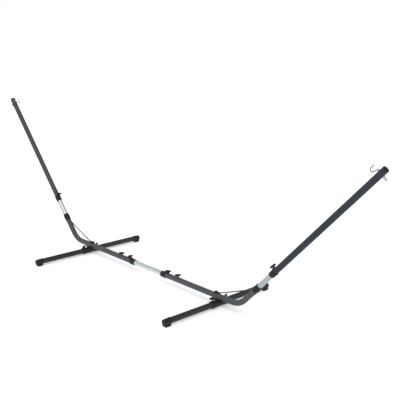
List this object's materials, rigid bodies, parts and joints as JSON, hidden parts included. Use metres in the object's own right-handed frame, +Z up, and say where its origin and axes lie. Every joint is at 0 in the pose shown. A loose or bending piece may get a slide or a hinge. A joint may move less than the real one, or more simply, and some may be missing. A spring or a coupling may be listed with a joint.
{
  "type": "hammock stand",
  "caption": "Telescopic steel hammock stand: sloping masts with hooks on a two-sided telescopic beam, stiffening stays over its bends and crossbars with moulded feet.",
  "frame": {"origin": "on the floor under the middle of the stand: the middle of its bounding box, at the height of the foot pads' undersides", "axes": "+X along the beam towards the right mast, +Y along the crossbars away from the front, +Z up"},
  "size_m": [3.988, 1.066, 1.2139],
  "materials": {
    "powder_coat": "fine-grained satin anthracite powder coat",
    "plated_tube": "zinc-plated tube with a soft lengthwise sheen",
    "black_plastic": "moulded black plastic with a fine grain",
    "screw_plastic": "moulded black wings on a zinc-plated stud",
    "zinc": "dull bright zinc plating",
    "black_steel": "black-coated steel rod and screw"
  },
  "bodies": {
    "centre": {"centre_tube": "plated_tube"},
    "right_base": {"right_j_tube": "powder_coat", "right_beam_collar": "black_plastic", "right_socket_collar": "black_plastic", "right_weld_nuts": "powder_coat", "right_stay_lug": "powder_coat", "right_stay": "black_steel", "right_stay_saddle": "black_plastic", "right_stay_screw": "black_steel", "right_cross_cradle": "black_plastic", "right_cradle_screw": "zinc", "right_cradle_nuts": "zinc", "right_foot_tube_near": "powder_coat", "right_foot_tube_far": "powder_coat", "right_foot_cap_near": "black_plastic", "right_foot_cap_far": "black_plastic", "right_inner_mast": "plated_tube", "right_socket_rivet": "zinc"},
    "right_mast": {"right_upper_mast": "powder_coat", "right_mast_collar": "black_plastic", "right_mast_nut": "powder_coat", "right_mast_cap": "black_plastic", "right_hook": "zinc", "right_hook_nut": "zinc", "right_hook_washers": "zinc"},
    "right_beam_screw_inner": {"right_beam_screw_inner": "screw_plastic"},
    "right_beam_screw_outer": {"right_beam_screw_outer": "screw_plastic"},
    "right_mast_screw": {"right_mast_screw": "screw_plastic"},
    "right_foot_screw_near": {"right_foot_screw_near": "screw_plastic"},
    "right_foot_screw_far": {"right_foot_screw_far": "screw_plastic"},
    "left_base": {"left_j_tube": "powder_coat", "left_beam_collar": "black_plastic", "left_socket_collar": "black_plastic", "left_weld_nuts": "powder_coat", "left_stay_lug": "powder_coat", "left_stay": "black_steel", "left_stay_saddle": "black_plastic", "left_stay_screw": "black_steel", "left_cross_cradle": "black_plastic", "left_cradle_screw": "zinc", "left_cradle_nuts": "zinc", "left_foot_tube_near": "powder_coat", "left_foot_tube_far": "powder_coat", "left_foot_cap_near": "black_plastic", "left_foot_cap_far": "black_plastic", "left_inner_mast": "plated_tube", "left_socket_rivet": "zinc"},
    "left_mast": {"left_upper_mast": "powder_coat", "left_mast_collar": "black_plastic", "left_mast_nut": "powder_coat", "left_mast_cap": "black_plastic", "left_hook": "zinc", "left_hook_nut": "zinc", "left_hook_washers": "zinc"},
    "left_beam_screw_inner": {"left_beam_screw_inner": "screw_plastic"},
    "left_beam_screw_outer": {"left_beam_screw_outer": "screw_plastic"},
    "left_mast_screw": {"left_mast_screw": "screw_plastic"},
    "left_foot_screw_near": {"left_foot_screw_near": "screw_plastic"},
    "left_foot_screw_far": {"left_foot_screw_far": "screw_plastic"}
  },
  "joints": [
    {"name": "right_beam_slide", "type": "slide", "parent": "centre", "child": "right_base", "axis": [1, 0, 0], "range_m": [-0.15, 0.04]},
    {"name": "right_mast_slide", "type": "slide", "parent": "right_base", "child": "right_mast", "axis": [0.6715, 0, 0.741], "range_m": [-0.13, 0.055]},
    {"name": "right_beam_screw_inner_turn", "type": "hinge", "parent": "right_base", "child": "right_beam_screw_inner", "pos_m": [0.2265, 0, 0.107], "axis": [0, 0, 1], "continuous": true},
    {"name": "right_beam_screw_outer_turn", "type": "hinge", "parent": "right_base", "child": "right_beam_screw_outer", "pos_m": [0.337, 0, 0.107], "axis": [0, 0, 1], "continuous": true},
    {"name": "right_mast_screw_turn", "type": "hinge", "parent": "right_mast", "child": "right_mast_screw", "pos_m": [1.2383, 0, 0.42789], "axis": [-0.741, 0, 0.6715], "continuous": true},
    {"name": "right_foot_screw_near_turn", "type": "hinge", "parent": "right_base", "child": "right_foot_screw_near", "pos_m": [0.7675, -0.067, 0.063], "axis": [0, 0, 1], "continuous": true},
    {"name": "right_foot_screw_far_turn", "type": "hinge", "parent": "right_base", "child": "right_foot_screw_far", "pos_m": [0.7675, 0.067, 0.063], "axis": [0, 0, 1], "continuous": true},
    {"name": "left_beam_slide", "type": "slide", "parent": "centre", "child": "left_base", "axis": [-1, 0, 0], "range_m": [-0.15, 0.04]},
    {"name": "left_mast_slide", "type": "slide", "parent": "left_base", "child": "left_mast", "axis": [-0.6715, 0, 0.741], "range_m": [-0.13, 0.055]},
    {"name": "left_beam_screw_inner_turn", "type": "hinge", "parent": "left_base", "child": "left_beam_screw_inner", "pos_m": [-0.2265, 0, 0.107], "axis": [0, 0, 1], "continuous": true},
    {"name": "left_beam_screw_outer_turn", "type": "hinge", "parent": "left_base", "child": "left_beam_screw_outer", "pos_m": [-0.337, 0, 0.107], "axis": [0, 0, 1], "continuous": true},
    {"name": "left_mast_screw_turn", "type": "hinge", "parent": "left_mast", "child": "left_mast_screw", "pos_m": [-1.2383, 0, 0.42789], "axis": [0.741, 0, 0.6715], "continuous": true},
    {"name": "left_foot_screw_near_turn", "type": "hinge", "parent": "left_base", "child": "left_foot_screw_near", "pos_m": [-0.7675, -0.067, 0.063], "axis": [0, 0, 1], "continuous": true},
    {"name": "left_foot_screw_far_turn", "type": "hinge", "parent": "left_base", "child": "left_foot_screw_far", "pos_m": [-0.7675, 0.067, 0.063], "axis": [0, 0, 1], "continuous": true}
  ]
}
